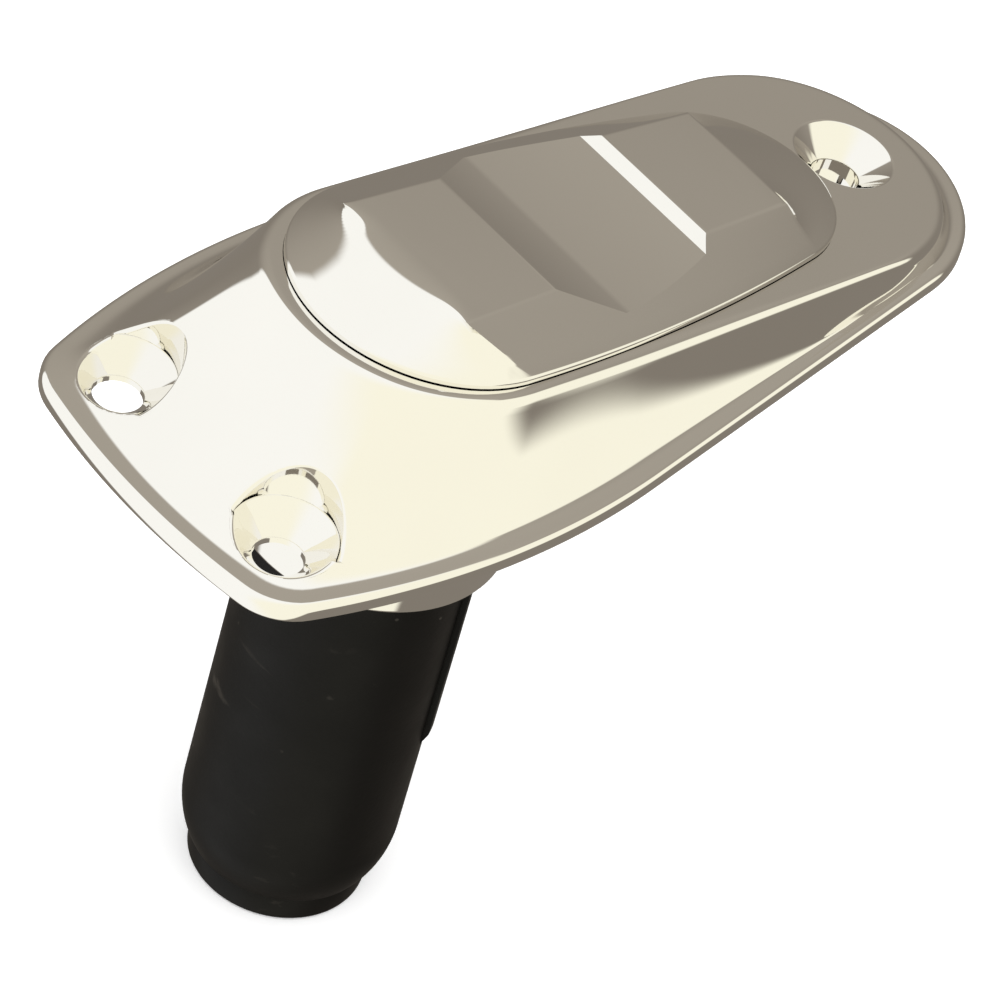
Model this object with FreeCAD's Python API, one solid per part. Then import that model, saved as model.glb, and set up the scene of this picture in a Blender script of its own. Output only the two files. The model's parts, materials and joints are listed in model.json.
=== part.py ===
import FreeCAD, Part
import math
import os

# Deck socket fitting with a sliding cap.
# Frame: millimetres, +Z up, z = 0 is the mounting face under the base plate.
# The origin is on the axis of the collar. +X points to the narrow rear end, where the cap slides to.

Vector = FreeCAD.Vector
UP = Vector(0, 0, 1)
ORIGIN = Vector(0, 0, 0)

# ---- base plate ----
front_reach = 38.3            # collar axis to the front edge
half_width = 26.5             # at the widest place
widest_x = -2.0
corner_setback = 8.8          # front edge to the centre of each front corner
corner_radius = 7.4
side_radius = 100.0
rear_radius = 17.2
rear_flare = 5.5              # rear edge of the deck to the rear edge of the plate
lip_thickness = 2.2
lip_round = 0.9
lip_width = 2.0               # flat strip between the lip edge and the foot of the raised body
flare_power = 1.8             # above 1 gives a hollow, flared slope
wall = 2.6

# ---- sloping deck on top of the base plate ----
deck_height = 15.1            # above the mounting face, on the collar axis
deck_slope = 7.0              # degrees, falling to the rear
deck_thickness = 3.0
deck_margin = 1.3             # between the shut cap and the front edge of the deck
deck_front_center = -1.0      # along the deck, from the collar axis
deck_rear_radius = 17.3

# ---- collar and socket barrel ----
barrel_bore_radius = 9.8      # takes a plug of 19 mm
barrel_wall = 2.75
collar_wall = 1.85
collar_depth = 19.0           # below the mounting face
collar_root_wall = 0.4        # the collar is a little thicker inside the base plate
plug_stop_depth = 37.0        # step in the bore that stops the plug
bore_step = 0.5               # each step of the bore takes this off its radius
mouth_margin = 0.6            # the opening in the deck is this much wider than the bore
mouth_depth = 6.1             # deck surface to the shoulder over the barrel
barrel_fit_gap = 0.05
flange_width = 1.05
flange_height = 5.0
chamber_length = 9.5          # carrier ledge to the rounded lower end of the barrel
nose_length = 6.5             # rounded lower end
nose_inset = 1.65
carrier_boss_radius = 2.0
carrier_boss_inset = 1.9      # boss centre to the wall of the wiring chamber
carrier_boss_height = 7.0
rib_height = 0.65             # raised half shell on the rear side of the barrel
rib_half_angle = 62.0
rib_depth = 48.5
rib_chamfer = 0.6
keyway_width = 3.2            # slot in the bore under the rib, for the key of a plug
keyway_depth = 1.3

# ---- retaining ring, seals ----
ring_height = 6.0
ring_gap = 0.1
top_gasket_thickness = 0.8
barrel_seal_depth = 15.0
seal_squeeze_gap = 0.05
mouth_seal_land = 0.9         # between the mouth and the ring set into the deck round it
mouth_seal_width = 1.3
mouth_seal_height = 1.2

# ---- screws through the base plate ----
front_screw_setback = 9.1     # from the front edge
front_screw_edge = 12.9       # from the widest line of the plate
screw_hole_radius = 2.8
countersink_radius = 5.95
countersink_depth = 3.0
front_seat_height = 3.8       # top of the countersink above the mounting face
front_boss_wall = 1.6
rear_boss_wall = 0.85
rear_boss_gap = 0.8           # between the open slider and the boss of the rear screw
rear_screw_setback = 8.2      # rear screw to the centre of the deck's rear arc

# ---- sliding cap ----
cap_cover = 4.0               # how far the shut cap reaches past the mouth seal
cap_rear_cover = 2.0          # how far the shut cap reaches past the slot
cap_rear_radius = 13.0
cap_side_radius = 220.0
cap_height = 5.1              # top face above the deck
cap_edge_height = 0.8         # upright edge round the foot
cap_deck_gap = 0.15
cap_top_front = -6.4
cap_top_rear_inset = 0.1      # from the centre of the cap's rear arc
cap_top_half_front = 10.2
cap_top_half_rear = 8.2
cap_travel = 30.0
cap_neck_root = 0.6           # how far the neck reaches up into the cap

# ---- finger scoop across the cap ----
scoop_front = 7.3
scoop_foot = 15.4
scoop_foot_height = 2.5
scoop_low = 22.6
scoop_low_height = 2.95
scoop_rear = 29.85
scoop_rear_height = 3.9
scoop_wall_lean = 1.15

# ---- slider under the deck ----
slot_land = 5.0               # mouth seal to the front end of the neck
neck_length = 7.4
neck_width = 7.0
neck_gap = 0.3
slider_front_overhang = 0.7
slider_rear_overhang = 1.3
slider_width = 20.0
slider_thickness = 1.4
slider_gap = 1.2              # room for the friction springs
slider_screw_spacing = 4.0
slider_screw_radius = 0.75
slider_screw_head_radius = 1.5
slider_screw_head_height = 0.8
slider_screw_length = 4.6
spring_thickness = 0.25
spring_width = 3.2
spring_top_gap = 0.15         # left between the bowed springs and the deck
spring_side_gap = 0.6

# ---- electrical parts in the barrel ----
carrier_height = 8.0
carrier_gap = 0.1
contact_spacing = 9.0
contact_radius = 1.6
contact_rise = 9.0
contact_stop_gap = 1.0        # contact tips to the plug stop
contact_tail = 2.0
contact_tip_round = 0.7
terminal_size = 5.2
terminal_height = 4.5
terminal_screw_radius = 1.2
terminal_screw_head_radius = 2.0
terminal_screw_head_height = 1.2
carrier_screw_radius = 0.9
carrier_screw_head_radius = 1.6
carrier_screw_length = 5.0
carrier_screw_head_height = 1.1

# ---- end cap and cable entry ----
end_cap_inset = 0.5           # end cap to the lower end of the barrel
end_cap_height = 4.0
end_cap_round = 0.8
end_cap_wall = 1.8
spigot_height = 5.0
spigot_gap = 0.05
spigot_wall = 1.6
spigot_seal_radius = 0.7
gland_radius = 3.6
gland_bore_radius = 2.3
gland_flange_radius = 4.8
gland_flange_height = 1.2

# ---- sizes that follow from the bore ----
barrel_radius = barrel_bore_radius + barrel_wall
flange_radius = barrel_radius + flange_width
collar_radius = flange_radius + barrel_fit_gap + collar_wall
collar_root_radius = collar_radius + collar_root_wall
carrier_bore_radius = barrel_bore_radius - bore_step
chamber_radius = carrier_bore_radius - bore_step
carrier_boss_x = chamber_radius - carrier_boss_inset
barrel_nose_radius = barrel_radius - nose_inset
end_cap_radius = barrel_nose_radius - end_cap_inset
mouth_radius = barrel_bore_radius + mouth_margin
mouth_seal_inner = mouth_radius + mouth_seal_land
mouth_seal_outer = mouth_seal_inner + mouth_seal_width
cap_front_radius = mouth_seal_outer + cap_cover
deck_front_radius = cap_front_radius + deck_margin

# ---- places along the deck, which follow from the mouth and the travel ----
slot_front = mouth_seal_outer + slot_land
slot_rear = slot_front + neck_length + cap_travel + neck_gap
slider_front = slot_front - slider_front_overhang
slider_length = slider_front_overhang + neck_length + slider_rear_overhang
rear_boss_radius = countersink_radius + rear_boss_wall
rear_screw_x = slider_front + slider_length + cap_travel + rear_boss_gap + rear_boss_radius
cap_rear_center = slot_rear + cap_rear_cover - cap_rear_radius
cap_top_rear = cap_rear_center - cap_top_rear_inset
deck_rear_center = rear_screw_x - rear_screw_setback
rear_reach = deck_rear_center + deck_rear_radius + rear_flare

# ---- places in plan that follow from the outline ----
corner_x = corner_setback - front_reach
front_screw_x = front_screw_setback - front_reach
front_screw_half_spacing = half_width - front_screw_edge

# ---- depths that follow from the plug stop ----
barrel_top = deck_height - mouth_depth
carrier_ledge_depth = plug_stop_depth + contact_stop_gap + contact_rise + carrier_height
barrel_shoulder_depth = carrier_ledge_depth + chamber_length
barrel_bottom_depth = barrel_shoulder_depth + nose_length

# ---- derived places ----
slope = math.radians(deck_slope)
deck_origin = Vector(0, 0, deck_height)
barrel_bottom = -barrel_bottom_depth
carrier_bottom = -carrier_ledge_depth
carrier_top = carrier_bottom + carrier_height
flange_top = barrel_top - top_gasket_thickness
ring_top = flange_top - flange_height
slider_top = -(deck_thickness + slider_gap)
slider_bottom = slider_top - slider_thickness
FAR = 300.0


def save(name, shape):
    """Write one node. Loose compounds of one solid are unwrapped."""
    solids = shape.Solids
    result = solids[0] if len(solids) == 1 else Part.makeCompound(solids)
    result.exportStep("parts/" + name + ".step")
    print("%-22s solids %d  volume %9.1f  valid %s"
          % (name, len(solids), shape.Volume, shape.isValid()))


def deck_z(x):
    """Height of the deck surface over the mounting face at a plan position."""
    return deck_height - x * math.tan(slope)


def tilt(shape):
    """Move a shape modelled on a level deck at z = 0 onto the sloping deck."""
    turned = shape.copy()
    turned.rotate(ORIGIN, Vector(0, 1, 0), deck_slope)
    turned.translate(deck_origin)
    return turned


def tube(outer, inner, bottom, top, x=0.0, y=0.0):
    """An upright tube."""
    place = Vector(x, y, bottom)
    body = Part.makeCylinder(outer, top - bottom, place, UP)
    return body.cut(Part.makeCylinder(inner, top - bottom, place, UP))


def rod(radius, bottom, top, x=0.0, y=0.0):
    """An upright cylinder."""
    return Part.makeCylinder(radius, top - bottom, Vector(x, y, bottom), UP)


def block(x0, x1, y0, y1, z0, z1):
    """A box between two corners."""
    return Part.makeBox(x1 - x0, y1 - y0, z1 - z0, Vector(x0, y0, z0))


# ---------------------------------------------------------------- outlines

def tangent_points(first, second):
    """Touching points of the outer tangent of two circles, for a loop that runs clockwise."""
    (x1, y1, r1), (x2, y2, r2) = first, second
    dx, dy = x2 - x1, y2 - y1
    reach = math.hypot(dx, dy)
    lean = math.acos(max(-1.0, min(1.0, (r1 - r2) / reach)))
    angle = math.atan2(dy, dx) + lean
    nx, ny = math.cos(angle), math.sin(angle)
    return (x1 + r1 * nx, y1 + r1 * ny), (x2 + r2 * nx, y2 + r2 * ny)


def side_circle(inset):
    """The large arc of the far side of the plate."""
    return (widest_x, half_width - side_radius, side_radius - inset)


def corner_y():
    """Height of the corner centre that makes corner and side arcs run into each other."""
    reach = side_radius - corner_radius
    return half_width - side_radius + math.sqrt(reach ** 2 - (corner_x - widest_x) ** 2)


def front_arc_radius():
    """Radius of the front edge, tangent to both corners."""
    inset = corner_x + front_reach
    return (inset ** 2 + corner_y() ** 2 - corner_radius ** 2) / (2 * (inset - corner_radius))


def plate_half(inset):
    """Arcs and lines of the far half of the plate outline, from front to rear."""
    front = front_arc_radius()
    front_center = front - front_reach
    corner_turn = math.atan2(corner_y(), corner_x - front_center)
    side_x, side_y, side_r = side_circle(inset)
    side_turn = math.atan2(corner_y() - side_y, corner_x - side_x)
    rear = (rear_reach - rear_radius, 0.0, rear_radius - inset)
    leave, arrive = tangent_points((side_x, side_y, side_r), rear)
    leave_turn = math.atan2(leave[1] - side_y, leave[0] - side_x)
    arrive_turn = math.atan2(arrive[1] - rear[1], arrive[0] - rear[0])
    return [
        ("arc", (front_center, 0.0, front - inset), math.pi, corner_turn),
        ("arc", (corner_x, corner_y(), corner_radius - inset), corner_turn, side_turn),
        ("arc", (side_x, side_y, side_r), side_turn, leave_turn),
        ("line", leave, arrive),
        ("arc", rear, arrive_turn, 0.0),
    ]


def half_edges(pieces, mirror):
    """Edges of half an outline at z = 0."""
    sign = -1.0 if mirror else 1.0
    edges = []
    for piece in pieces:
        if piece[0] == "line":
            a, b = piece[1], piece[2]
            edges.append(Part.makeLine(Vector(a[0], sign * a[1], 0), Vector(b[0], sign * b[1], 0)))
            continue
        (cx, cy, r), start, end = piece[1], piece[2], piece[3]
        points = []
        for turn in (start, (start + end) / 2, end):
            points.append(Vector(cx + r * math.cos(turn), sign * (cy + r * math.sin(turn)), 0))
        edges.append(Part.Arc(points[0], points[1], points[2]).toShape())
    return edges


def closed_wire(pieces):
    """The half outline and its mirror image as one closed wire."""
    edges = half_edges(pieces, False) + half_edges(pieces, True)
    return Part.Wire(Part.__sortEdges__(edges))


def plate_wire(inset):
    return closed_wire(plate_half(inset))


def deck_half(inset):
    """Far half of the deck outline on the level deck."""
    front = (deck_front_center, 0.0, deck_front_radius - inset)
    rear = (deck_rear_center, 0.0, deck_rear_radius - inset)
    leave, arrive = tangent_points(front, rear)
    leave_turn = math.atan2(leave[1], leave[0] - front[0])
    arrive_turn = math.atan2(arrive[1], arrive[0] - rear[0])
    return [
        ("arc", front, math.pi, leave_turn),
        ("line", leave, arrive),
        ("arc", rear, arrive_turn, 0.0),
    ]


def cap_half(inset):
    """Far half of the cap outline on the level deck: two ends and a slightly bowed side."""
    r1, r2 = cap_front_radius, cap_rear_radius
    reach1, reach2 = cap_side_radius - r1, cap_side_radius - r2
    along = (reach1 ** 2 - reach2 ** 2 + cap_rear_center ** 2) / (2 * cap_rear_center)
    across = -math.sqrt(reach1 ** 2 - along ** 2)
    front_turn = math.atan2(-across, -along)
    rear_turn = math.atan2(-across, cap_rear_center - along)
    return [
        ("arc", (0.0, 0.0, r1 - inset), math.pi, front_turn),
        ("arc", (along, across, cap_side_radius - inset), front_turn, rear_turn),
        ("arc", (cap_rear_center, 0.0, r2 - inset), rear_turn, 0.0),
    ]


def prism(wire, bottom, top):
    """A level outline stood up between two heights."""
    face = Part.Face(wire)
    face.translate(Vector(0, 0, bottom))
    return face.extrude(Vector(0, 0, top - bottom))


# ---------------------------------------------------------------- base plate

def outline_point(pieces, turn, middle):
    """Where a ray from the middle of the plate meets a half outline (turn from 0 to pi)."""
    ux, uy = math.cos(turn), math.sin(turn)
    best = None
    for piece in pieces:
        if piece[0] == "line":
            (ax, ay), (bx, by) = piece[1], piece[2]
            ex, ey = bx - ax, by - ay
            det = ux * -ey + uy * ex
            t = ((ax - middle) * -ey + ay * ex) / det
            share = (ux * ay - uy * (ax - middle)) / det
            if -1e-9 <= share <= 1 + 1e-9:
                best = t
            continue
        (cx, cy, r), start, end = piece[1], piece[2], piece[3]
        dx, dy = cx - middle, cy
        along = ux * dx + uy * dy
        root = along ** 2 - dx ** 2 - dy ** 2 + r ** 2
        if root < 0:
            continue
        t = along + math.sqrt(root)
        hit = math.atan2(uy * t - dy, ux * t - dx)
        low, high = min(start, end) - 1e-6, max(start, end) + 1e-6
        if low <= hit <= high:
            best = t
    return best


def flare_section(share, inset, drop, foot_height):
    """One level of the raised body: share 0 is the foot outline, share 1 the deck edge."""
    middle = 18.0
    steps = 36
    foot = plate_half(lip_width + inset)
    top = deck_half(inset)
    rise_share = share ** flare_power
    points = []
    for step in range(2 * steps):
        turn = math.pi * step / steps
        folded = turn if turn <= math.pi else 2 * math.pi - turn
        sign = 1.0 if turn <= math.pi else -1.0
        reach_foot = outline_point(foot, folded, middle)
        reach_top = outline_point(top, folded, middle)
        reach = reach_foot + (reach_top - reach_foot) * share
        x = middle + reach * math.cos(folded)
        y = sign * reach * math.sin(folded)
        z = foot_height + (deck_z(x) - drop - foot_height) * rise_share
        points.append(Vector(x, y, z))
    curve = Part.BSplineCurve()
    curve.interpolate(points, PeriodicFlag=True)
    return Part.Wire(curve.toShape())


def flared_body(inset, drop, foot_height):
    """The raised body between the lip and the sloping deck."""
    shares = (0.0, 0.25, 0.5, 0.75, 1.0)
    sections = [flare_section(share, inset, drop, foot_height) for share in shares]
    return Part.makeLoft(sections, True, False)


def front_pocket(side):
    """Upright counterbore, countersink and hole for one front screw."""
    x, y = front_screw_x, side * front_screw_half_spacing
    seat = front_seat_height
    well = rod(countersink_radius, seat, deck_height, x, y)
    cone = Part.makeCone(screw_hole_radius, countersink_radius, countersink_depth,
                         Vector(x, y, seat - countersink_depth), UP)
    return well.fuse(cone).fuse(rod(screw_hole_radius, -FAR / 10, seat, x, y))


def rear_hole():
    """Countersunk hole square to the sloping deck."""
    hole = rod(screw_hole_radius, -FAR / 10, 1.0, rear_screw_x)
    cone = Part.makeCone(screw_hole_radius, countersink_radius, countersink_depth,
                         Vector(rear_screw_x, 0, -countersink_depth), UP)
    return tilt(hole.fuse(cone).fuse(rod(countersink_radius, 0, 1.0, rear_screw_x)))


def make_base_plate():
    lip = prism(plate_wire(0.0), 0.0, lip_thickness)
    rim = [e for e in lip.Edges if abs(e.BoundBox.ZMin - lip_thickness) < 1e-4
           and abs(e.BoundBox.ZMax - lip_thickness) < 1e-4]
    lip = lip.makeFillet(lip_round, rim)
    hill = flared_body(0.0, 0.0, lip_thickness - 0.4)
    body = lip.fuse(hill)
    hollow = flared_body(wall, deck_thickness, -0.6)
    keep = rod(collar_root_radius, -1.0, deck_height + 5.0)
    for side in (1, -1):
        boss = rod(countersink_radius + front_boss_wall, -1.0, deck_height, front_screw_x,
                   side * front_screw_half_spacing)
        keep = keep.fuse(boss)
    keep = keep.fuse(tilt(rod(rear_boss_radius, -FAR / 10, 5.0, rear_screw_x)))
    body = body.cut(hollow.cut(keep))
    body = body.fuse(rod(collar_radius, -collar_depth, lip_thickness))
    body = body.cut(rod(flange_radius + barrel_fit_gap, -collar_depth - 1.0, barrel_top))
    body = body.cut(rod(mouth_radius, 0.0, deck_height + 10.0))
    for side in (1, -1):
        body = body.cut(front_pocket(side))
    body = body.cut(rear_hole())
    body = body.cut(tilt(slot_cutter()))
    body = body.cut(tilt(tube(mouth_seal_outer, mouth_seal_inner, -mouth_seal_height, 1.0)))
    return body.removeSplitter()


def slot_cutter():
    """Slot along the deck that the neck of the cap runs in."""
    half = neck_width / 2 + neck_gap
    return round_ended(slot_front - neck_gap, slot_rear, half, -deck_thickness * 2, 1.0)


def round_ended(front, rear, half, bottom, top):
    """An upright block with round ends."""
    body = block(front + half, rear - half, -half, half, bottom, top)
    for x in (front + half, rear - half):
        body = body.fuse(rod(half, bottom, top, x))
    return body.removeSplitter()


# ---------------------------------------------------------------- sliding cap

def cap_top_edges():
    """Corners of the flat top face, in order: far front, far rear, near rear, near front."""
    return [
        Vector(cap_top_front, cap_top_half_front, cap_height),
        Vector(cap_top_rear, cap_top_half_rear, cap_height),
        Vector(cap_top_rear, -cap_top_half_rear, cap_height),
        Vector(cap_top_front, -cap_top_half_front, cap_height),
    ]


def arc_through(circle, start, end, sign, height):
    """An arc edge of a half outline piece, mirrored when sign is -1."""
    cx, cy, r = circle
    points = []
    for turn in (start, (start + end) / 2, end):
        points.append(Vector(cx + r * math.cos(turn), sign * (cy + r * math.sin(turn)), height))
    return Part.Arc(points[0], points[1], points[2]).toShape()


def cap_foot_edges(height):
    """The cap outline as four edges: far side, rear end, near side, front end."""
    front, side, rear = cap_half(0.0)
    rear_turn, front_turn = side[3], side[2]
    return [
        arc_through(side[1], side[2], side[3], 1.0, height),
        arc_through(rear[1], rear_turn, -rear_turn, 1.0, height),
        arc_through(side[1], side[3], side[2], -1.0, height),
        arc_through(front[1], 2 * math.pi - front_turn, front_turn, 1.0, height),
    ]


def cap_block():
    """Upright foot edge, then four ruled faces that rise from the outline to the flat top."""
    foot = cap_foot_edges(cap_edge_height)
    corners = cap_top_edges()
    faces = []
    for index, edge in enumerate(foot):
        top = Part.makeLine(corners[index], corners[(index + 1) % 4])
        faces.append(Part.makeRuledSurface(edge, top))
    faces.append(Part.Face(Part.makePolygon(corners + corners[:1])))
    faces.append(Part.Face(Part.Wire(foot)))
    shell = Part.Shell(faces)
    shell.sewShape()
    upper = Part.Solid(shell)
    if upper.Volume < 0:
        upper.reverse()
    foot_wire = Part.Wire(cap_foot_edges(cap_deck_gap))
    lower = Part.Face(foot_wire).extrude(Vector(0, 0, cap_edge_height - cap_deck_gap))
    return upper.fuse(lower).removeSplitter()


def scoop_cutter():
    """The finger scoop: a sloping front wall, a hollow floor and a steep push face."""
    reach = cap_front_radius + 5.0
    y = -reach
    top = cap_height
    over = cap_height + 5.0
    front_top = Vector(scoop_front, y, top)
    foot = Vector(scoop_foot, y, scoop_foot_height)
    low = Vector(scoop_low, y, scoop_low_height)
    rear = Vector(scoop_rear, y, scoop_rear_height)
    rear_top = Vector(scoop_rear + scoop_wall_lean, y, top)
    edges = [
        Part.makeLine(front_top, foot),
        Part.Arc(foot, low, rear).toShape(),
        Part.makeLine(rear, rear_top),
        Part.makeLine(rear_top, Vector(rear_top.x, y, over)),
        Part.makeLine(Vector(rear_top.x, y, over), Vector(scoop_front, y, over)),
        Part.makeLine(Vector(scoop_front, y, over), front_top),
    ]
    return Part.Face(Part.Wire(edges)).extrude(Vector(0, 2 * reach, 0))


def slider_screw_places():
    middle = slot_front + neck_length / 2
    return [middle - slider_screw_spacing / 2, middle + slider_screw_spacing / 2]


def make_sliding_cap():
    body = cap_block().cut(scoop_cutter())
    neck = round_ended(slot_front, slot_front + neck_length, neck_width / 2, slider_top,
                       cap_deck_gap + cap_neck_root)
    body = body.fuse(neck)
    top = slider_bottom + slider_screw_length
    for x in slider_screw_places():
        body = body.cut(rod(slider_screw_radius, slider_top, top, x))
    return tilt(body)


def make_slider_plate():
    half = slider_width / 2
    body = block(slider_front, slider_front + slider_length, -half, half,
                 slider_bottom, slider_top)
    edges = [e for e in body.Edges if abs(e.BoundBox.ZLength - slider_thickness) < 1e-6]
    body = body.makeFillet(1.5, edges)
    for x in slider_screw_places():
        body = body.cut(rod(slider_screw_radius, slider_bottom, slider_top, x))
    return tilt(body)


def slotted_head(radius, height, slot_width, slot_depth, bottom, x, y):
    """A screw head that faces down, with a cross slot cut in its underside."""
    head = rod(radius, bottom, bottom + height, x, y)
    reach = radius * 0.7
    head = head.cut(block(x - reach, x + reach, y - slot_width / 2, y + slot_width / 2,
                          bottom, bottom + slot_depth))
    return head.cut(block(x - slot_width / 2, x + slot_width / 2, y - reach, y + reach,
                          bottom, bottom + slot_depth))


def make_slider_screws():
    screws = []
    for x in slider_screw_places():
        bottom = slider_bottom - slider_screw_head_height
        head = slotted_head(slider_screw_head_radius, slider_screw_head_height, 0.4, 0.4,
                            bottom, x, 0.0)
        shank = rod(slider_screw_radius, slider_bottom, slider_bottom + slider_screw_length, x)
        screws.append(tilt(head.fuse(shank)))
    return Part.makeCompound(screws)


def make_friction_springs():
    """Two bowed leaves between the slider plate and the underside of the deck."""
    springs = []
    rise = slider_gap - spring_top_gap
    x0, x1 = slider_front + 0.6, slider_front + slider_length - 0.6
    middle = (x0 + x1) / 2
    for side in (1, -1):
        y = side * (neck_width / 2 + spring_side_gap + spring_width / 2) - spring_width / 2
        outer = [Vector(x0, y, slider_top), Vector(middle, y, slider_top + rise),
                 Vector(x1, y, slider_top)]
        inset = spring_thickness * 1.6
        inner = [Vector(x0 + inset, y, slider_top),
                 Vector(middle, y, slider_top + rise - spring_thickness),
                 Vector(x1 - inset, y, slider_top)]
        wire = Part.Wire([
            Part.Arc(*outer).toShape(),
            Part.makeLine(outer[2], inner[2]),
            Part.Arc(inner[2], inner[1], inner[0]).toShape(),
            Part.makeLine(inner[0], outer[0]),
        ])
        springs.append(tilt(Part.Face(wire).extrude(Vector(0, spring_width, 0))))
    return Part.makeCompound(springs)


# ---------------------------------------------------------------- socket barrel

def make_socket_barrel():
    shoulder = -barrel_shoulder_depth
    radius, nose = barrel_radius, barrel_nose_radius
    a = Vector(0, 0, flange_top)
    b = Vector(flange_radius, 0, flange_top)
    c = Vector(flange_radius, 0, ring_top)
    d = Vector(radius, 0, ring_top)
    e = Vector(radius, 0, shoulder)
    f = Vector(nose, 0, barrel_bottom)
    g = Vector(0, 0, barrel_bottom)
    bulge = Vector(nose + (radius - nose) * 0.72, 0, shoulder + (barrel_bottom - shoulder) * 0.55)
    outline = [Part.makeLine(a, b), Part.makeLine(b, c), Part.makeLine(c, d), Part.makeLine(d, e),
               Part.Arc(e, bulge, f).toShape(), Part.makeLine(f, g), Part.makeLine(g, a)]
    body = Part.Face(Part.Wire(outline)).revolve(ORIGIN, UP, 360)
    body = body.fuse(barrel_rib())
    body = body.cut(rod(barrel_bore_radius, -plug_stop_depth, flange_top))
    body = body.cut(rod(carrier_bore_radius, carrier_bottom, flange_top))
    body = body.cut(block(0, barrel_bore_radius + keyway_depth, -keyway_width / 2,
                          keyway_width / 2, -plug_stop_depth, flange_top))
    chamber = rod(chamber_radius, barrel_bottom, carrier_bottom)
    for side in (1, -1):
        boss = rod(carrier_boss_radius, carrier_bottom - carrier_boss_height, carrier_bottom,
                   side * carrier_boss_x)
        boss = boss.cut(rod(carrier_screw_radius, carrier_bottom - carrier_screw_length,
                            carrier_bottom, side * carrier_boss_x))
        chamber = chamber.cut(boss)
    body = body.cut(chamber)
    return body.removeSplitter()


def barrel_rib():
    """Raised half shell on the rear side, chamfered at its lower end."""
    outer = barrel_radius + rib_height
    low = -rib_depth
    points = [Vector(barrel_radius - 0.5, 0, ring_top - ring_height - 1.0),
              Vector(outer, 0, ring_top - ring_height - 1.0),
              Vector(outer, 0, low + rib_chamfer * 2),
              Vector(barrel_radius, 0, low - rib_chamfer),
              Vector(barrel_radius - 0.5, 0, low - rib_chamfer)]
    face = Part.Face(Part.makePolygon(points + points[:1]))
    rib = face.revolve(ORIGIN, UP, 2 * rib_half_angle)
    rib.rotate(ORIGIN, UP, -rib_half_angle)
    return rib


def make_top_gasket():
    """Flat ring between the barrel flange and the shoulder in the base plate."""
    return tube(flange_radius, mouth_radius, flange_top, barrel_top)


def make_retaining_ring():
    """Threaded ring that holds the barrel flange up in the collar, with two spanner slots."""
    bottom = ring_top - ring_height
    body = tube(flange_radius, barrel_radius + ring_gap, bottom, ring_top)
    slot = block(-2.0, 2.0, -FAR, FAR, bottom, bottom + 1.5)
    return body.cut(slot)


def make_barrel_o_ring():
    section = (flange_radius - barrel_radius) / 2 - seal_squeeze_gap
    middle = (flange_radius + barrel_fit_gap + barrel_radius) / 2
    return cut_rib_room(Part.makeTorus(middle, section, Vector(0, 0, -barrel_seal_depth), UP))


def cut_rib_room(ring):
    """Leave room for the rib of the barrel."""
    rib = barrel_rib()
    return ring.cut(rib)


def make_mouth_seal():
    return tilt(tube(mouth_seal_outer, mouth_seal_inner, -mouth_seal_height, 0.0))


# ---------------------------------------------------------------- contacts

def make_contact_carrier():
    body = rod(carrier_bore_radius - carrier_gap, carrier_bottom, carrier_top)
    for side in (1, -1):
        body = body.cut(rod(contact_radius, carrier_bottom, carrier_top,
                            0.0, side * contact_spacing / 2))
        x = side * carrier_boss_x
        body = body.cut(rod(carrier_screw_radius, carrier_bottom, carrier_top, x))
        body = body.cut(rod(carrier_screw_head_radius + 0.1,
                            carrier_top - carrier_screw_head_height - 0.1, carrier_top, x))
    return body


def make_carrier_screws():
    screws = []
    for side in (1, -1):
        x = side * carrier_boss_x
        seat = carrier_top - carrier_screw_head_height - 0.1
        head = rod(carrier_screw_head_radius, seat, seat + carrier_screw_head_height, x)
        head = head.cut(block(x - 1.3, x + 1.3, -0.25, 0.25,
                              seat + carrier_screw_head_height / 2, carrier_top))
        shank = rod(carrier_screw_radius, carrier_bottom - carrier_screw_length, seat, x)
        screws.append(head.fuse(shank))
    return Part.makeCompound(screws)


def make_contact_pin(side):
    y = side * contact_spacing / 2
    pin = rod(contact_radius, carrier_bottom - contact_tail, carrier_top + contact_rise, 0.0, y)
    tip = [e for e in pin.Edges if e.BoundBox.ZMin > carrier_top + contact_rise - 0.01]
    return pin.makeFillet(contact_tip_round, tip)


def make_terminal(side):
    """Brass block on the tail of a contact pin, with a wire hole and a clamp screw."""
    y = side * contact_spacing / 2
    half = terminal_size / 2
    top = carrier_bottom
    body = block(-half, half, y - half * 0.75, y + half * 0.75, top - terminal_height, top)
    body = body.cut(rod(contact_radius, top - contact_tail, top, 0.0, y))
    middle = top - terminal_height * 0.72
    body = body.cut(Part.makeCylinder(0.9, terminal_size * 2, Vector(-terminal_size, y, middle),
                                      Vector(1, 0, 0)))
    return body.cut(rod(terminal_screw_radius, top - terminal_height, middle, 0.0, y))


def make_terminal_screws():
    screws = []
    for side in (1, -1):
        y = side * contact_spacing / 2
        low = carrier_bottom - terminal_height
        end = carrier_bottom - terminal_height * 0.72 - 0.9
        head = slotted_head(terminal_screw_head_radius, terminal_screw_head_height, 0.5, 0.5,
                            low - terminal_screw_head_height, 0.0, y)
        screws.append(head.fuse(rod(terminal_screw_radius, low, end, 0.0, y)))
    return Part.makeCompound(screws)


# ---------------------------------------------------------------- end cap

def make_end_cap():
    top = barrel_bottom
    bottom = top - end_cap_height
    body = rod(end_cap_radius, bottom, top)
    rim = [e for e in body.Edges if abs(e.BoundBox.ZMax - bottom) < 1e-4
           and e.BoundBox.XLength > end_cap_radius]
    body = body.makeFillet(end_cap_round, rim)
    spigot = chamber_radius - spigot_gap
    body = body.fuse(rod(spigot, top, top + spigot_height))
    body = body.cut(rod(spigot - spigot_wall, bottom + end_cap_wall, top + spigot_height))
    body = body.cut(end_cap_seal_groove())
    return body.cut(rod(gland_radius, bottom, bottom + end_cap_wall))


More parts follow.
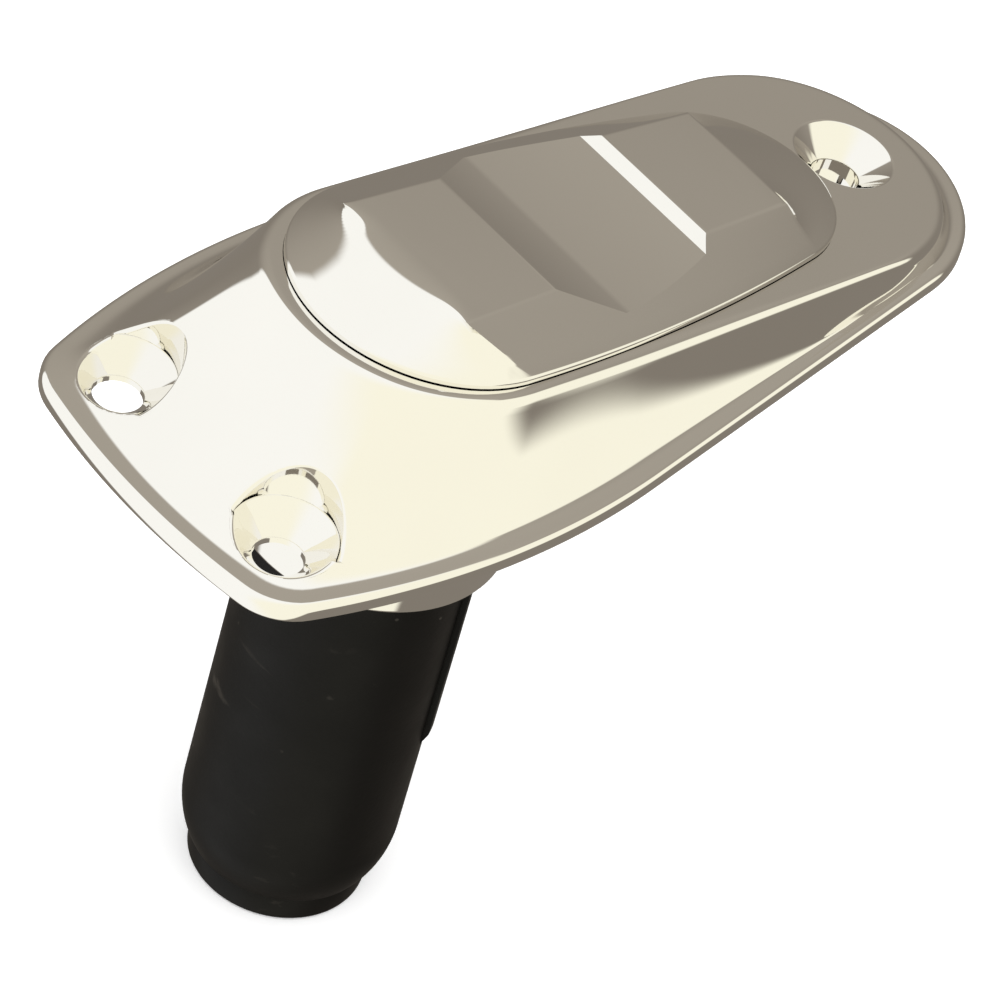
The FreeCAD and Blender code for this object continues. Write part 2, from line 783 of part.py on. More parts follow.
def end_cap_seal_groove():
    spigot = chamber_radius - spigot_gap
    return Part.makeTorus(spigot, spigot_seal_radius, Vector(0, 0, barrel_bottom
                                                             + spigot_height / 2), UP)


def make_end_cap_o_ring():
    spigot = chamber_radius - spigot_gap
    ring = end_cap_seal_groove()
    return ring.common(rod(spigot, barrel_bottom, barrel_bottom + spigot_height))


def make_cable_gland():
    """Rubber grommet in the end cap, with a flange on its inner side."""
    bottom = barrel_bottom - end_cap_height
    seat = bottom + end_cap_wall
    body = rod(gland_radius, bottom, seat + 0.01)
    body = body.fuse(rod(gland_flange_radius, seat, seat + gland_flange_height))
    return body.cut(rod(gland_bore_radius, bottom, seat + gland_flange_height))


def main():
    os.makedirs("parts", exist_ok=True)
    save("base_plate", make_base_plate())
    save("sliding_cap", make_sliding_cap())
    save("slider_plate", make_slider_plate())
    save("slider_screws", make_slider_screws())
    save("friction_springs", make_friction_springs())
    save("mouth_seal", make_mouth_seal())
    save("socket_barrel", make_socket_barrel())
    save("barrel_top_gasket", make_top_gasket())
    save("retaining_ring", make_retaining_ring())
    save("barrel_o_ring", make_barrel_o_ring())
    save("contact_carrier", make_contact_carrier())
    save("carrier_screws", make_carrier_screws())
    for name, side in (("positive", 1), ("negative", -1)):
        save("contact_pin_" + name, make_contact_pin(side))
        save("terminal_" + name, make_terminal(side))
    save("terminal_screws", make_terminal_screws())
    save("end_cap", make_end_cap())
    save("end_cap_o_ring", make_end_cap_o_ring())
    save("cable_gland", make_cable_gland())


main()
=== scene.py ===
# %% [markdown]
# A chrome deck socket with a sliding cap, on a black plastic barrel. The exact parts come from the
# CAD frame. What Blender adds is what the eye judges: a skin that is smooth enough to mirror the
# studio, soft polished edges, and finishes with their real small faults.

# %% Load the frame
import bpy
import bmesh
import json
import math
from mathutils import Matrix, Vector
from mathutils.bvhtree import BVHTree
from mathutils.geometry import barycentric_transform


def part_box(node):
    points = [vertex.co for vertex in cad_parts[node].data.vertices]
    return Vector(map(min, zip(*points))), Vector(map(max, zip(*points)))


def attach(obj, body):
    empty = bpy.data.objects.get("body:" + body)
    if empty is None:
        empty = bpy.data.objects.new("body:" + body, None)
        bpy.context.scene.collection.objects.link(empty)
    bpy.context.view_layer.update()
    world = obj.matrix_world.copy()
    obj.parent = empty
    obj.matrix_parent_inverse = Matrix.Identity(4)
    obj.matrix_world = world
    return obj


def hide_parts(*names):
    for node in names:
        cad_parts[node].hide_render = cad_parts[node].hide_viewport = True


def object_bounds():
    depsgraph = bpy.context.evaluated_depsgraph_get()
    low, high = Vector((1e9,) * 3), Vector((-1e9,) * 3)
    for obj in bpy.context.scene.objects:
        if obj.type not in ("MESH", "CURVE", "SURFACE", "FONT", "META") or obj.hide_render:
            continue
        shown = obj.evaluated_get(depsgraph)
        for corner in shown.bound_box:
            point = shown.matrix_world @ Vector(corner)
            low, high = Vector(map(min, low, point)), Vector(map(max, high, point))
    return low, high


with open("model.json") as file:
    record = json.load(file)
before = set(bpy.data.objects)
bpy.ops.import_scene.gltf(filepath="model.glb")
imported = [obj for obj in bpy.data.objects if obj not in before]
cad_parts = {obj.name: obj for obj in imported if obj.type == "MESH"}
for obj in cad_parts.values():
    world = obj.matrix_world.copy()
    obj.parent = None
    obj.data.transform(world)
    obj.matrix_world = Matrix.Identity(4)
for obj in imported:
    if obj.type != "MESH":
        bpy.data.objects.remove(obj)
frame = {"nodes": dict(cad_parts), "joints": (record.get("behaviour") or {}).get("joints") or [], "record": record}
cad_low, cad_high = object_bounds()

MM = 0.001
print("CAD box, mm:", [round(v / MM, 1) for v in (*cad_low, *cad_high)])

# %% [markdown]
# The driving sizes follow the frame. The plate's reach and width, the collar and the screw places
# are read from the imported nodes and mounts, so the looks stay on the CAD parts. The remaining
# values are the curves that a box can't tell: arcs of the outline, edge rounds and wall sizes.

# %% Sizes
plate_low, plate_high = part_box("base_plate")
mounts = {m["name"]: m for m in frame["record"]["mounts"]}
front_reach, rear_reach, half_width = -plate_low.x, plate_high.x, plate_high.y
widest_x = -2.0 * MM
corner_x, corner_radius = -29.5 * MM, 7.4 * MM
side_radius, rear_radius = 100.0 * MM, 17.2 * MM
lip_thickness, lip_round, lip_width = 2.2 * MM, 0.9 * MM, 1.5 * MM
foot_sink = 0.1 * MM
flare_start = 0.2
wall, hollow_inset = 2.6 * MM, 4.6 * MM

slide_axis = Vector(frame["joints"][0]["axis"])
slope = math.atan2(-slide_axis.z, slide_axis.x)
deck_height = 15.1 * MM
deck_thickness = 3.0 * MM
deck_round = 1.7 * MM
deck_front = (-1.0 * MM, 17.9 * MM)
deck_rear = (55.7 * MM, 17.3 * MM)
middle = 18.0 * MM

collar_radius = mounts["collar"]["dims"]["r_mm"] * MM
collar_bottom = plate_low.z
bore_radius = mounts["socket_bore"]["dims"]["r_mm"] * MM
on_deck = Matrix.Translation((0, 0, deck_height)) @ Matrix.Rotation(slope, 4, "Y")
print("deck slope, degrees:", round(math.degrees(slope), 2))


def deck_z(x):
    """Height of the deck over the mounting face at x."""
    return deck_height - x * math.tan(slope)


# %% [markdown]
# Small helpers. Every new piece is a bmesh turned into an object at the origin. Round edges are
# drawn in the outline itself, as arcs between two straight stretches, because a bevel made after
# a cut has too little room between the cut's short edges.

# %% Helpers for meshes
def to_object(bm, name, merge=1e-7):
    """Close a bmesh up, turn its faces outwards and make it an object."""
    bmesh.ops.remove_doubles(bm, verts=bm.verts, dist=merge)
    bmesh.ops.recalc_face_normals(bm, faces=bm.faces)
    mesh = bpy.data.meshes.new(name)
    bm.to_mesh(mesh)
    bm.free()
    piece = bpy.data.objects.new(name, mesh)
    bpy.context.scene.collection.objects.link(piece)
    return piece


def apply_modifiers(piece):
    """Make the mesh what its modifiers show."""
    graph = bpy.context.evaluated_depsgraph_get()
    mesh = bpy.data.meshes.new_from_object(piece.evaluated_get(graph), depsgraph=graph)
    piece.modifiers.clear()
    piece.data = mesh
    return piece


def combine(piece, other, operation, untangle=False):
    """Cut or join with another closed shape, which is then removed.

    The cut of the hollow comes out empty unless it is untangled, which is slower.
    """
    step = piece.modifiers.new(operation.lower(), "BOOLEAN")
    step.operation = operation
    step.solver = "EXACT"
    step.material_mode = "TRANSFER"
    step.use_self = untangle
    step.object = other
    apply_modifiers(piece)
    bpy.data.objects.remove(other)
    return piece


def joined(pieces, name):
    """Several separate shapes in one mesh."""
    bm = bmesh.new()
    for piece in pieces:
        bm.from_mesh(piece.data)
        bpy.data.objects.remove(piece)
    return to_object(bm, name)


def corner_arc(before, corner, after, radius, steps=6):
    """Points of the arc that rounds a corner between two straight stretches."""
    before, corner, after = Vector(before), Vector(corner), Vector(after)
    u, w = (before - corner).normalized(), (after - corner).normalized()
    half = u.angle(w) / 2
    reach = min(radius / math.tan(half), 0.49 * (before - corner).length,
                0.49 * (after - corner).length)
    center = corner + (u + w).normalized() * reach / math.cos(half)
    a, b = corner + u * reach - center, corner + w * reach - center
    turn = a.angle(b)
    points = []
    for step in range(steps + 1):
        share = step / steps
        mixed = a * math.sin((1 - share) * turn) + b * math.sin(share * turn)
        points.append(center + mixed / math.sin(turn))
    return points


def rounded(points, steps=5):
    """An open outline of (radius, height, round) with its inner corners rounded."""
    line = [Vector(p[:2]) for p in points]
    result = [line[0]]
    for index in range(1, len(line) - 1):
        if points[index][2] > 0:
            result += corner_arc(line[index - 1], line[index], line[index + 1],
                                 points[index][2], steps)
        else:
            result.append(line[index])
    return result + [line[-1]]


def turned(points, name, angle=2 * math.pi, steps=128, closed=True, place=(0, 0)):
    """A turned shape: an outline of (radius, height) spun about an upright axis."""
    bm = bmesh.new()
    verts = [bm.verts.new((p[0], 0, p[1])) for p in points]
    edges = [bm.edges.new(pair) for pair in zip(verts, verts[1:])]
    if closed:
        edges.append(bm.edges.new((verts[-1], verts[0])))
    whole = abs(angle - 2 * math.pi) < 1e-6
    bmesh.ops.spin(bm, geom=verts + edges, axis=(0, 0, 1), cent=(0, 0, 0), steps=steps,
                   angle=angle, use_merge=whole)
    if not whole:
        bmesh.ops.holes_fill(bm, edges=[e for e in bm.edges if e.is_boundary])
    bmesh.ops.translate(bm, verts=bm.verts, vec=(place[0], place[1], 0))
    return to_object(bm, name)


def smooth(piece, limit=32):
    """Smooth shading, with creases kept where faces meet at more than the limit."""
    piece.data.shade_smooth()
    piece.data.set_sharp_from_angle(angle=math.radians(limit))
    return piece


# %% [markdown]
# The plate's outline is five tangent stretches on each side: front arc, corner arc, long side arc,
# a straight line and the rear arc. A ray from the middle of the plate meets it once, so every ring
# of the skin can be placed by its ray. That keeps the rings in step, and a mirror finish shows no
# ripple where two arcs meet.

# %% Outline of the plate
def tangent_points(first, second):
    """Touching points of the outer tangent of two circles given as (x, y, radius)."""
    (x1, y1, r1), (x2, y2, r2) = first, second
    lean = math.acos((r1 - r2) / math.hypot(x2 - x1, y2 - y1))
    angle = math.atan2(y2 - y1, x2 - x1) + lean
    nx, ny = math.cos(angle), math.sin(angle)
    return (x1 + r1 * nx, y1 + r1 * ny), (x2 + r2 * nx, y2 + r2 * ny)


def turn_on(circle, point):
    return math.atan2(point[1] - circle[1], point[0] - circle[0])


def plate_half(inset):
    """Arcs and lines of half the plate outline, moved in by inset."""
    side_y = half_width - side_radius
    reach = side_radius - corner_radius
    corner = (corner_x, side_y + math.sqrt(reach ** 2 - (corner_x - widest_x) ** 2))
    depth = corner_x + front_reach
    front = (depth ** 2 + corner[1] ** 2 - corner_radius ** 2) / (2 * (depth - corner_radius))
    front_circle = (front - front_reach, 0.0, front - inset)
    side = (widest_x, side_y, side_radius - inset)
    rear = (rear_reach - rear_radius, 0.0, rear_radius - inset)
    leave, arrive = tangent_points(side, rear)
    corner_turn, side_turn = turn_on(front_circle, corner), turn_on(side, corner)
    return [
        ("arc", front_circle, corner_turn, math.pi),
        ("arc", (corner_x, corner[1], corner_radius - inset), side_turn, corner_turn),
        ("arc", side, turn_on(side, leave), side_turn),
        ("line", leave, arrive),
        ("arc", rear, 0.0, turn_on(rear, arrive)),
    ]


def deck_half(inset):
    """Half the outline of the deck on top: two arcs and a straight side."""
    front = (deck_front[0], 0.0, deck_front[1] - inset)
    rear = (deck_rear[0], 0.0, deck_rear[1] - inset)
    leave, arrive = tangent_points(front, rear)
    return [
        ("arc", front, turn_on(front, leave), math.pi),
        ("line", leave, arrive),
        ("arc", rear, 0.0, turn_on(rear, arrive)),
    ]


def reach_to(outline, turn):
    """How far a ray from the middle of the plate runs to half an outline."""
    ux, uy = math.cos(turn), abs(math.sin(turn))
    for piece in outline:
        if piece[0] == "line":
            (ax, ay), (bx, by) = piece[1:]
            ex, ey = bx - ax, by - ay
            det = uy * ex - ux * ey
            share = (ux * ay - uy * (ax - middle)) / det
            if -1e-9 <= share <= 1 + 1e-9:
                return (ay * ex - (ax - middle) * ey) / det
            continue
        (cx, cy, r), low, high = piece[1:]
        dx = cx - middle
        along = ux * dx + uy * cy
        root = along ** 2 - dx ** 2 - cy ** 2 + r ** 2
        if root < 0:
            continue
        t = along + math.sqrt(root)
        if low - 1e-6 <= math.atan2(uy * t - cy, ux * t - dx) <= high + 1e-6:
            return t
    raise ValueError("the ray misses the outline")


def spun(x, y, profile, steps):
    """Lines of points round an upright axis at x, y; profile(turn) lists (reach, height)."""
    lines = []
    for step in range(steps):
        turn = 2 * math.pi * step / steps
        lines.append([Vector((x + reach * math.cos(turn), y + reach * math.sin(turn), height))
                      for reach, height in profile(turn)])
    return lines


def ring_solid(lines, name):
    """A closed solid of rings; every line of points runs from its first ring to its last."""
    bm = bmesh.new()
    made = bmesh.ops.create_circle(bm, cap_ends=True, segments=len(lines), radius=1.0)
    line_of = dict(zip(made["verts"], lines))
    for vert, line in line_of.items():
        vert.co = line[0]
    ring = list(bm.edges)
    for level in range(1, len(lines[0])):
        before = {v.co.to_tuple(9): v for e in ring for v in e.verts}
        made = bmesh.ops.extrude_edge_only(bm, edges=ring)["geom"]
        fresh = {g for g in made if isinstance(g, bmesh.types.BMVert)}
        ring = [g for g in made if isinstance(g, bmesh.types.BMEdge)
                and g.verts[0] in fresh and g.verts[1] in fresh]
        for vert in fresh:
            line_of[vert] = line_of[before[vert.co.to_tuple(9)]]
        for vert in fresh:
            vert.co = line_of[vert][level]
    bmesh.ops.edgeloop_fill(bm, edges=ring)
    return to_object(bm, name)


# %% [markdown]
# The skin of the plate, from the foot up: a rounded lip with a narrow flat, a hollow flare that
# steepens to the deck, and a rounded deck edge. Lofting curves would also do it; rings on rays are
# chosen because each ring lies at a known height, and the rounds get rings of their own.

# %% Skin of the plate
lip_insets = [0.25 * MM, 0.07 * MM, 0.0]
lip_heights = [0.0, 0.07 * MM, 0.25 * MM]
round_steps = 8
for step in range(round_steps + 1):
    angle = math.pi / 2 * step / round_steps
    lip_insets.append(lip_round * (1 - math.cos(angle)))
    lip_heights.append(lip_thickness - lip_round * (1 - math.sin(angle)))
lip_outlines = [plate_half(inset) for inset in lip_insets]
foot_outline = plate_half(lip_width)
deck_outline = deck_half(0.0)


def smooth_max(a, b, blend):
    """The larger of two heights, with the change between them rounded."""
    near = max(blend - abs(a - b), 0.0) / blend
    return max(a, b) + near * near * blend / 4


def flare_rise(share):
    """How far the flare has risen: a straight start that curves up to the deck."""
    return flare_start * share + (1 - flare_start) * share ** 2


def flare_point(turn, share):
    """A point of the flare: share 0 at its foot, 1 at the deck edge."""
    foot = reach_to(foot_outline, turn)
    reach = foot + (reach_to(deck_outline, turn) - foot) * share
    low = lip_thickness - foot_sink
    height = low + (deck_z(middle + reach * math.cos(turn)) - low) * flare_rise(share)
    return Vector((reach, smooth_max(height, lip_thickness, 0.5 * MM)))


def plate_profile(turn, flare_steps=30):
    points = [Vector((reach_to(outline, turn), height))
              for outline, height in zip(lip_outlines, lip_heights)]
    edge = flare_point(turn, 1.0)
    inward = Vector((-1.0, math.tan(slope) * math.cos(turn))).normalized()
    down = (flare_point(turn, 0.96) - edge).normalized()
    reach = deck_round / math.tan(inward.angle(down) / 2)
    foot = reach_to(foot_outline, turn)
    last_share = 1 - down.x * reach / (foot - edge.x)
    points += [flare_point(turn, last_share * step / flare_steps) for step in range(flare_steps)]
    points += corner_arc(edge + down, edge, edge + inward, deck_round, round_steps)
    points.append(edge + inward * (reach + 0.4 * MM))
    return points


skin = ring_solid(spun(middle, 0, plate_profile, 480), "skin")
print("skin of the plate:", len(skin.data.polygons), "faces")
skin_tree = BVHTree.FromPolygons([v.co for v in skin.data.vertices],
                                 [p.vertices for p in skin.data.polygons])


def skin_height(x, y):
    """Height of the uncut skin over a place in plan."""
    return skin_tree.ray_cast(Vector((x, y, 1.0)), Vector((0, 0, -1)))[0].z


# %% [markdown]
# The screw pockets. Each front one is an upright well with a cone at its foot, cut where the skin
# rises, so its rim is a curve in space. The cutter follows that rim round and flares out like a
# trumpet just under the skin. What is left is the soft, buffed rim of a polished casting.

# %% Cutters of the screw pockets
front_mount = mounts["front_screws"]
screw_x = front_mount["pos_m"][0]
screw_y = front_mount["dims"]["spacing_y_mm"] * MM / 2
hole_radius = front_mount["dims"]["hole_r_mm"] * MM
sink_radius, sink_depth, seat_height = 5.95 * MM, 3.0 * MM, 3.8 * MM
rim_round = 0.55 * MM
below = 1.0 * MM
rear_screw_x = 63.9 * MM


def pocket_profile(x, y, turn):
    """Outline of the cutter at one turn about the screw, from the hole up past the skin."""
    ux, uy = math.cos(turn), math.sin(turn)
    cone_foot = Vector((hole_radius, seat_height - sink_depth))
    cone_top = Vector((sink_radius, seat_height))
    rim = Vector((sink_radius, skin_height(x + ux * sink_radius, y + uy * sink_radius)))
    from_point = Vector((sink_radius, rim.y - 5 * MM))
    on_cone = rim.y < seat_height
    if on_cone:
        low, high = 0.0, 1.0
        for _ in range(30):
            share = (low + high) / 2
            point = cone_foot.lerp(cone_top, share)
            inside = point.y < skin_height(x + ux * point.x, y + uy * point.x)
            low, high = (share, high) if inside else (low, share)
        rim = cone_foot.lerp(cone_top, low)
        from_point = cone_foot
    ahead = rim.x + 0.6 * MM
    outward = Vector((ahead, skin_height(x + ux * ahead, y + uy * ahead))) - rim
    outward.normalize()
    arc = corner_arc(from_point, rim, rim + outward * 5 * MM, rim_round, 7)
    foot_round = 0.35 * MM
    points = [Vector((hole_radius, -below))]
    points += corner_arc(points[0], cone_foot, cone_top, foot_round, 4)
    if on_cone:
        points += [arc[0].lerp(points[-1], 1 - (step + 1) / 7) for step in range(6)]
    else:
        points += corner_arc(cone_foot, cone_top, Vector((sink_radius, rim.y)), 0.5 * MM, 5)
    points += [point - Vector((0, 0.01 * MM)) for point in arc]
    out = arc[-1] + outward * 0.3 * MM + Vector((0, 0.15 * MM))
    return points + [out, Vector((out.x, out.y + 20 * MM))]


def pocket_cutter(side, name):
    x, y = screw_x, side * screw_y
    return ring_solid(spun(x, y, lambda turn: pocket_profile(x, y, turn), 96), name)


def rear_cutter():
    """The rear countersink, turned square to the deck, with a buffed rim."""
    out = sink_radius + 0.8 * MM
    cone_top = (sink_radius, 0.0)
    rim = corner_arc((hole_radius, -sink_depth), cone_top, (out, 0.0), rim_round, 7)
    foot = corner_arc((hole_radius, -20 * MM), (hole_radius, -sink_depth), cone_top, 0.35 * MM, 4)
    points = [Vector((0, -20 * MM)), Vector((hole_radius, -20 * MM))] + foot
    points += [p + Vector((0, -0.01 * MM)) for p in rim]
    points += [Vector((out, 0.15 * MM)), Vector((out, 5 * MM)), Vector((0, 5 * MM))]
    cutter = turned(points, "rear_cutter", closed=False, place=(rear_screw_x, 0))
    cutter.data.transform(on_deck)
    return cutter


# %% [markdown]
# The rest of the casting: the collar with its bore, the mouth in the deck, the groove for the
# mouth seal, the slot that guides the cap, and the hollow underside with its screw bosses. Each is
# a turned or extruded cutter, joined or cut with exact booleans, as the casting core would do it.

# %% Cutters of the bore, mouth, groove and slot
flange_radius = 13.65 * MM
flange_top = 9.0 * MM
mouth_radius = 10.4 * MM
seal_inner, seal_outer = 11.3 * MM, 12.6 * MM
slot_half, slot_front, slot_rear = 3.8 * MM, 17.3 * MM, 55.3 * MM
collar_root = 15.9 * MM
front_boss, rear_boss = sink_radius + 1.6 * MM, 6.8 * MM


def bore_cutter():
    points = [(0, collar_bottom - below, 0), (flange_radius + below, collar_bottom - below, 0),
              (flange_radius, collar_bottom + 0.4 * MM, 0.2 * MM), (flange_radius, flange_top, 0),
              (mouth_radius, flange_top, 0.2 * MM), (mouth_radius, 25 * MM, 0), (0, 25 * MM, 0)]
    return turned(rounded(points), "bore_cutter", closed=False)


def groove_cutter():
    depth = -1.2 * MM
    points = [(seal_inner, depth), (seal_outer, depth), (seal_outer, below), (seal_inner, below)]
    cutter = turned(points, "groove_cutter", steps=96)
    cutter.data.transform(on_deck)
    return cutter


def round_ended(front, rear, half, bottom, top, name, steps=48):
    """An upright block with round ends: a circle stretched apart and extruded."""
    bm = bmesh.new()
    bmesh.ops.create_circle(bm, cap_ends=True, segments=steps, radius=half)
    for vert in bm.verts:
        vert.co.x += rear - half if vert.co.x > 0 else front + half
        vert.co.z = bottom
    made = bmesh.ops.extrude_face_region(bm, geom=list(bm.faces))["geom"]
    bmesh.ops.translate(bm, verts=[g for g in made if isinstance(g, bmesh.types.BMVert)],
                        vec=(0, 0, top - bottom))
    return to_object(bm, name)


def slot_cutter():
    cutter = round_ended(slot_front, slot_rear, slot_half, -2 * deck_thickness, below, "slot")
    cutter.data.transform(on_deck)
    return cutter


def hollow_profile(turn, steps=10):
    foot = reach_to(hollow_foot, turn)
    top = reach_to(hollow_top, turn)
    points = []
    for step in range(steps + 1):
        share = step / steps
        reach = foot + (top - foot) * share
        roof = deck_z(middle + reach * math.cos(turn)) - deck_thickness
        points.append(Vector((reach, -0.6 * MM + (roof + 0.6 * MM) * flare_rise(share))))
    return points


hollow_foot, hollow_top = plate_half(hollow_inset), deck_half(wall)


def hollow_cutter():
    """The hollow under the plate, less the collar root and the three screw bosses."""
    hollow = ring_solid(spun(middle, 0, hollow_profile, 144), "hollow")
    root = turned([(0, -5 * MM), (collar_root, -5 * MM), (collar_root, 25 * MM), (0, 25 * MM)],
                  "root", closed=False)
    bosses = [root]
    for side in (1, -1):
        points = [(0, -5 * MM), (front_boss, -5 * MM), (front_boss, 25 * MM), (0, 25 * MM)]
        bosses.append(turned(points, "boss", closed=False, steps=64,
                             place=(screw_x, side * screw_y)))
    rear = turned([(0, -30 * MM), (rear_boss, -30 * MM), (rear_boss, 5 * MM), (0, 5 * MM)], "boss",
                  closed=False, steps=64, place=(rear_screw_x, 0))
    rear.data.transform(on_deck)
    bosses.append(rear)
    return combine(hollow, joined(bosses, "bosses"), "DIFFERENCE")


def collar():
    points = [(0, collar_bottom, 0), (collar_radius, collar_bottom, 0.5 * MM),
              (collar_radius, lip_thickness, 0), (0, lip_thickness, 0)]
    return turned(rounded(points), "collar", closed=False)


# %% [markdown]
# Reflections show every bent normal. After the cuts, the faces that are left of the skin take
# their normals from the uncut skin, and the pocket walls from their cutters, so a cut leaves no
# dent in the mirror image beside it.

# %% Carry smooth normals onto the cut casting
def smooth_source(piece):
    """A search tree over a smooth mesh with its triangles and corner normals."""
    mesh = piece.data
    mesh.shade_smooth()
    mesh.set_sharp_from_angle(angle=math.radians(25))
    mesh.calc_loop_triangles()
    normals = [n.vector.copy() for n in mesh.corner_normals]
    points = [v.co.copy() for v in mesh.vertices]
    triangles = [tuple(t.vertices) for t in mesh.loop_triangles]
    corner = [[normals[i] for i in t.loops] for t in mesh.loop_triangles]
    return BVHTree.FromPolygons(points, triangles), points, triangles, corner


def carried_normal(source, place, flat):
    """The source's normal nearest to a place, on the same side as the flat face."""
    tree, points, triangles, corner = source
    hit, _, index, _ = tree.find_nearest(place)
    if hit is None:
        return flat
    a, b, c = (points[i] for i in triangles[index])
    normal = barycentric_transform(hit, a, b, c, *corner[index])
    if normal.length < 1e-6:
        return flat
    normal.normalize()
    normal = -normal if normal.dot(flat) < 0 else normal
    return normal if normal.angle(flat) < math.radians(20) else flat


def carry_normals(piece, sources, reach=0.02 * MM):
    """Give each face corner the normal of the first source whose surface it lies on."""
    mesh = piece.data
    smooth(piece)
    result = [n.vector.copy() for n in mesh.corner_normals]
    count = 0
    for face in mesh.polygons:
        for source in sources:
            hit = source[0].find_nearest(face.center, reach)
            if hit[0] is None or abs(hit[1].dot(face.normal)) < 0.94:
                continue
            for loop in face.loop_indices:
                place = mesh.vertices[mesh.loops[loop].vertex_index].co
                result[loop] = carried_normal(source, place, face.normal)
            count += 1
            break
    mesh.normals_split_custom_set(result)
    print(piece.name, "faces with carried normals:", count, "of", len(mesh.polygons))


# %% [markdown]
# The plate is put together the way it is made: the cast skin and collar first, then the hollow, then
# the machined cuts. All cutters of one kind go in one boolean, which is quicker and keeps the cuts
# from meeting each other's edges.

# %% Cast, cut and finish the plate
def make_plate():
    plate = skin.copy()
    plate.data = skin.data.copy()
    plate.name = "plate_casting"
    bpy.context.scene.collection.objects.link(plate)
    combine(plate, collar(), "UNION")
    pockets = [pocket_cutter(1, "pocket_far"), pocket_cutter(-1, "pocket_near"), rear_cutter()]
    sources = [smooth_source(skin)] + [smooth_source(p) for p in pockets]
    combine(plate, hollow_cutter(), "DIFFERENCE", untangle=True)
    cutters = pockets + [bore_cutter(), groove_cutter(), slot_cutter()]
    combine(plate, joined(cutters, "cutters"), "DIFFERENCE")
    carry_normals(plate, sources)
    return plate


plate = make_plate()
bpy.data.objects.remove(skin)
print("plate:", len(plate.data.polygons), "faces")

# %% [markdown]
# The cap: an upright foot edge, four faces that rise from curved foot lines to straight top edges,
# a flat top and a finger scoop. Here the faces are ruled, so each upright line of the ring is
# straight from foot to top. Its top edge is rounded in the ring itself, wide at the front where a
# finger runs over it and narrow elsewhere. A bevel after the cut would tear at the short edges.

# %% Sliding cap
cap_front, cap_rear, cap_rear_center = 16.6 * MM, 13.0 * MM, 44.3 * MM
cap_side = 220.0 * MM
cap_height, cap_edge, cap_gap = 5.1 * MM, 0.8 * MM, 0.15 * MM
cap_top = [(-6.4 * MM, 10.2 * MM), (44.2 * MM, 8.2 * MM)]
front_soft, side_soft, scoop_soft = 2.2 * MM, 0.35 * MM, 0.3 * MM
scoop_front, scoop_rear_top = (7.3 * MM, cap_height), (31.0 * MM, cap_height)
scoop_foot, scoop_low = (15.4 * MM, 2.5 * MM), (22.6 * MM, 2.95 * MM)
scoop_rear = (29.85 * MM, 3.9 * MM)
neck_front, neck_rear, neck_half = 17.6 * MM, 25.0 * MM, 3.5 * MM
neck_low, neck_high = -4.2 * MM, 0.75 * MM


def cap_side_center():
    """Centre of the long side arc that touches both ends from inside."""
    reach1, reach2 = cap_side - cap_front, cap_side - cap_rear
    along = (reach1 ** 2 - reach2 ** 2 + cap_rear_center ** 2) / (2 * cap_rear_center)
    return along, -math.sqrt(reach1 ** 2 - along ** 2)


def soft_edge(before, corner, after, steps=6):
    """Points of the curve that leaves one stretch and joins the next without a kink."""
    return [before.lerp(corner, s / steps).lerp(corner.lerp(after, s / steps), s / steps)
            for s in range(steps + 1)]


def cap_line(foot, top, inner, soft):
    """One upright line of the cap: foot edge, straight face and rounded top edge."""
    foot_low, foot = Vector((*foot, cap_gap)), Vector((*foot, cap_edge))
    top, inner = Vector((*top, cap_height)), Vector((*inner, cap_height))
    arrive = top + (foot - top).normalized() * soft
    low = soft_edge(foot + Vector((0, 0, -0.2 * MM)), foot, foot.lerp(arrive, 0.04), 3)
    face = [low[-1].lerp(arrive, step / 5) for step in range(1, 5)]
    return [foot_low] + low + face + soft_edge(arrive, top, inner)


def shares(steps, edge=0.012):
    """Even shares of a stretch, with one close to each end to hold the crease narrow."""
    even = [step / steps for step in range(steps)]
    return [0.0, edge] + even[1:] + [1 - edge]


def cap_lines():
    """The lines round the cap: far side, front, near side and rear."""
    along, across = cap_side_center()
    front_turn = math.atan2(-across, -along)
    rear_turn = math.atan2(-across, cap_rear_center - along)
    (x0, y0), (x1, y1) = cap_top
    in0, in1 = (x0 + front_soft, y0 - side_soft), (x1 - side_soft, y1 - side_soft)
    side = (along, across, cap_side)
    rear = (cap_rear_center, 0.0, cap_rear)
    front = (0.0, 0.0, cap_front)
    lines = []

    def stretch(circle, turns, flip, tops, inners, steps, soft):
        for share in shares(steps):
            turn = turns[0] + (turns[1] - turns[0]) * share
            foot = (circle[0] + circle[2] * math.cos(turn),
                    flip * (circle[1] + circle[2] * math.sin(turn)))
            top = Vector(tops[0]).lerp(Vector(tops[1]), share)
            inner = Vector(inners[0]).lerp(Vector(inners[1]), share)
            lines.append(cap_line(foot, top, inner, soft(share)))

    def front_width(share):
        near = min(share, 1 - share, 0.25) / 0.25
        return side_soft + (front_soft - side_soft) * near * near * (3 - 2 * near)

    def mirror(p):
        return p[0], -p[1]

    stretch(side, (rear_turn, front_turn), 1, ((x1, y1), (x0, y0)), (in1, in0), 40,
            lambda share: side_soft)
    stretch(front, (front_turn, 2 * math.pi - front_turn), 1, ((x0, y0), (x0, -y0)),
            (in0, mirror(in0)), 48, front_width)
    stretch(side, (front_turn, rear_turn), -1, ((x0, -y0), (x1, -y1)),
            (mirror(in0), mirror(in1)), 40, lambda share: side_soft)
    stretch(rear, (-rear_turn, rear_turn), 1, ((x1, -y1), (x1, y1)), (mirror(in1), in1), 36,
            lambda share: side_soft)
    return lines


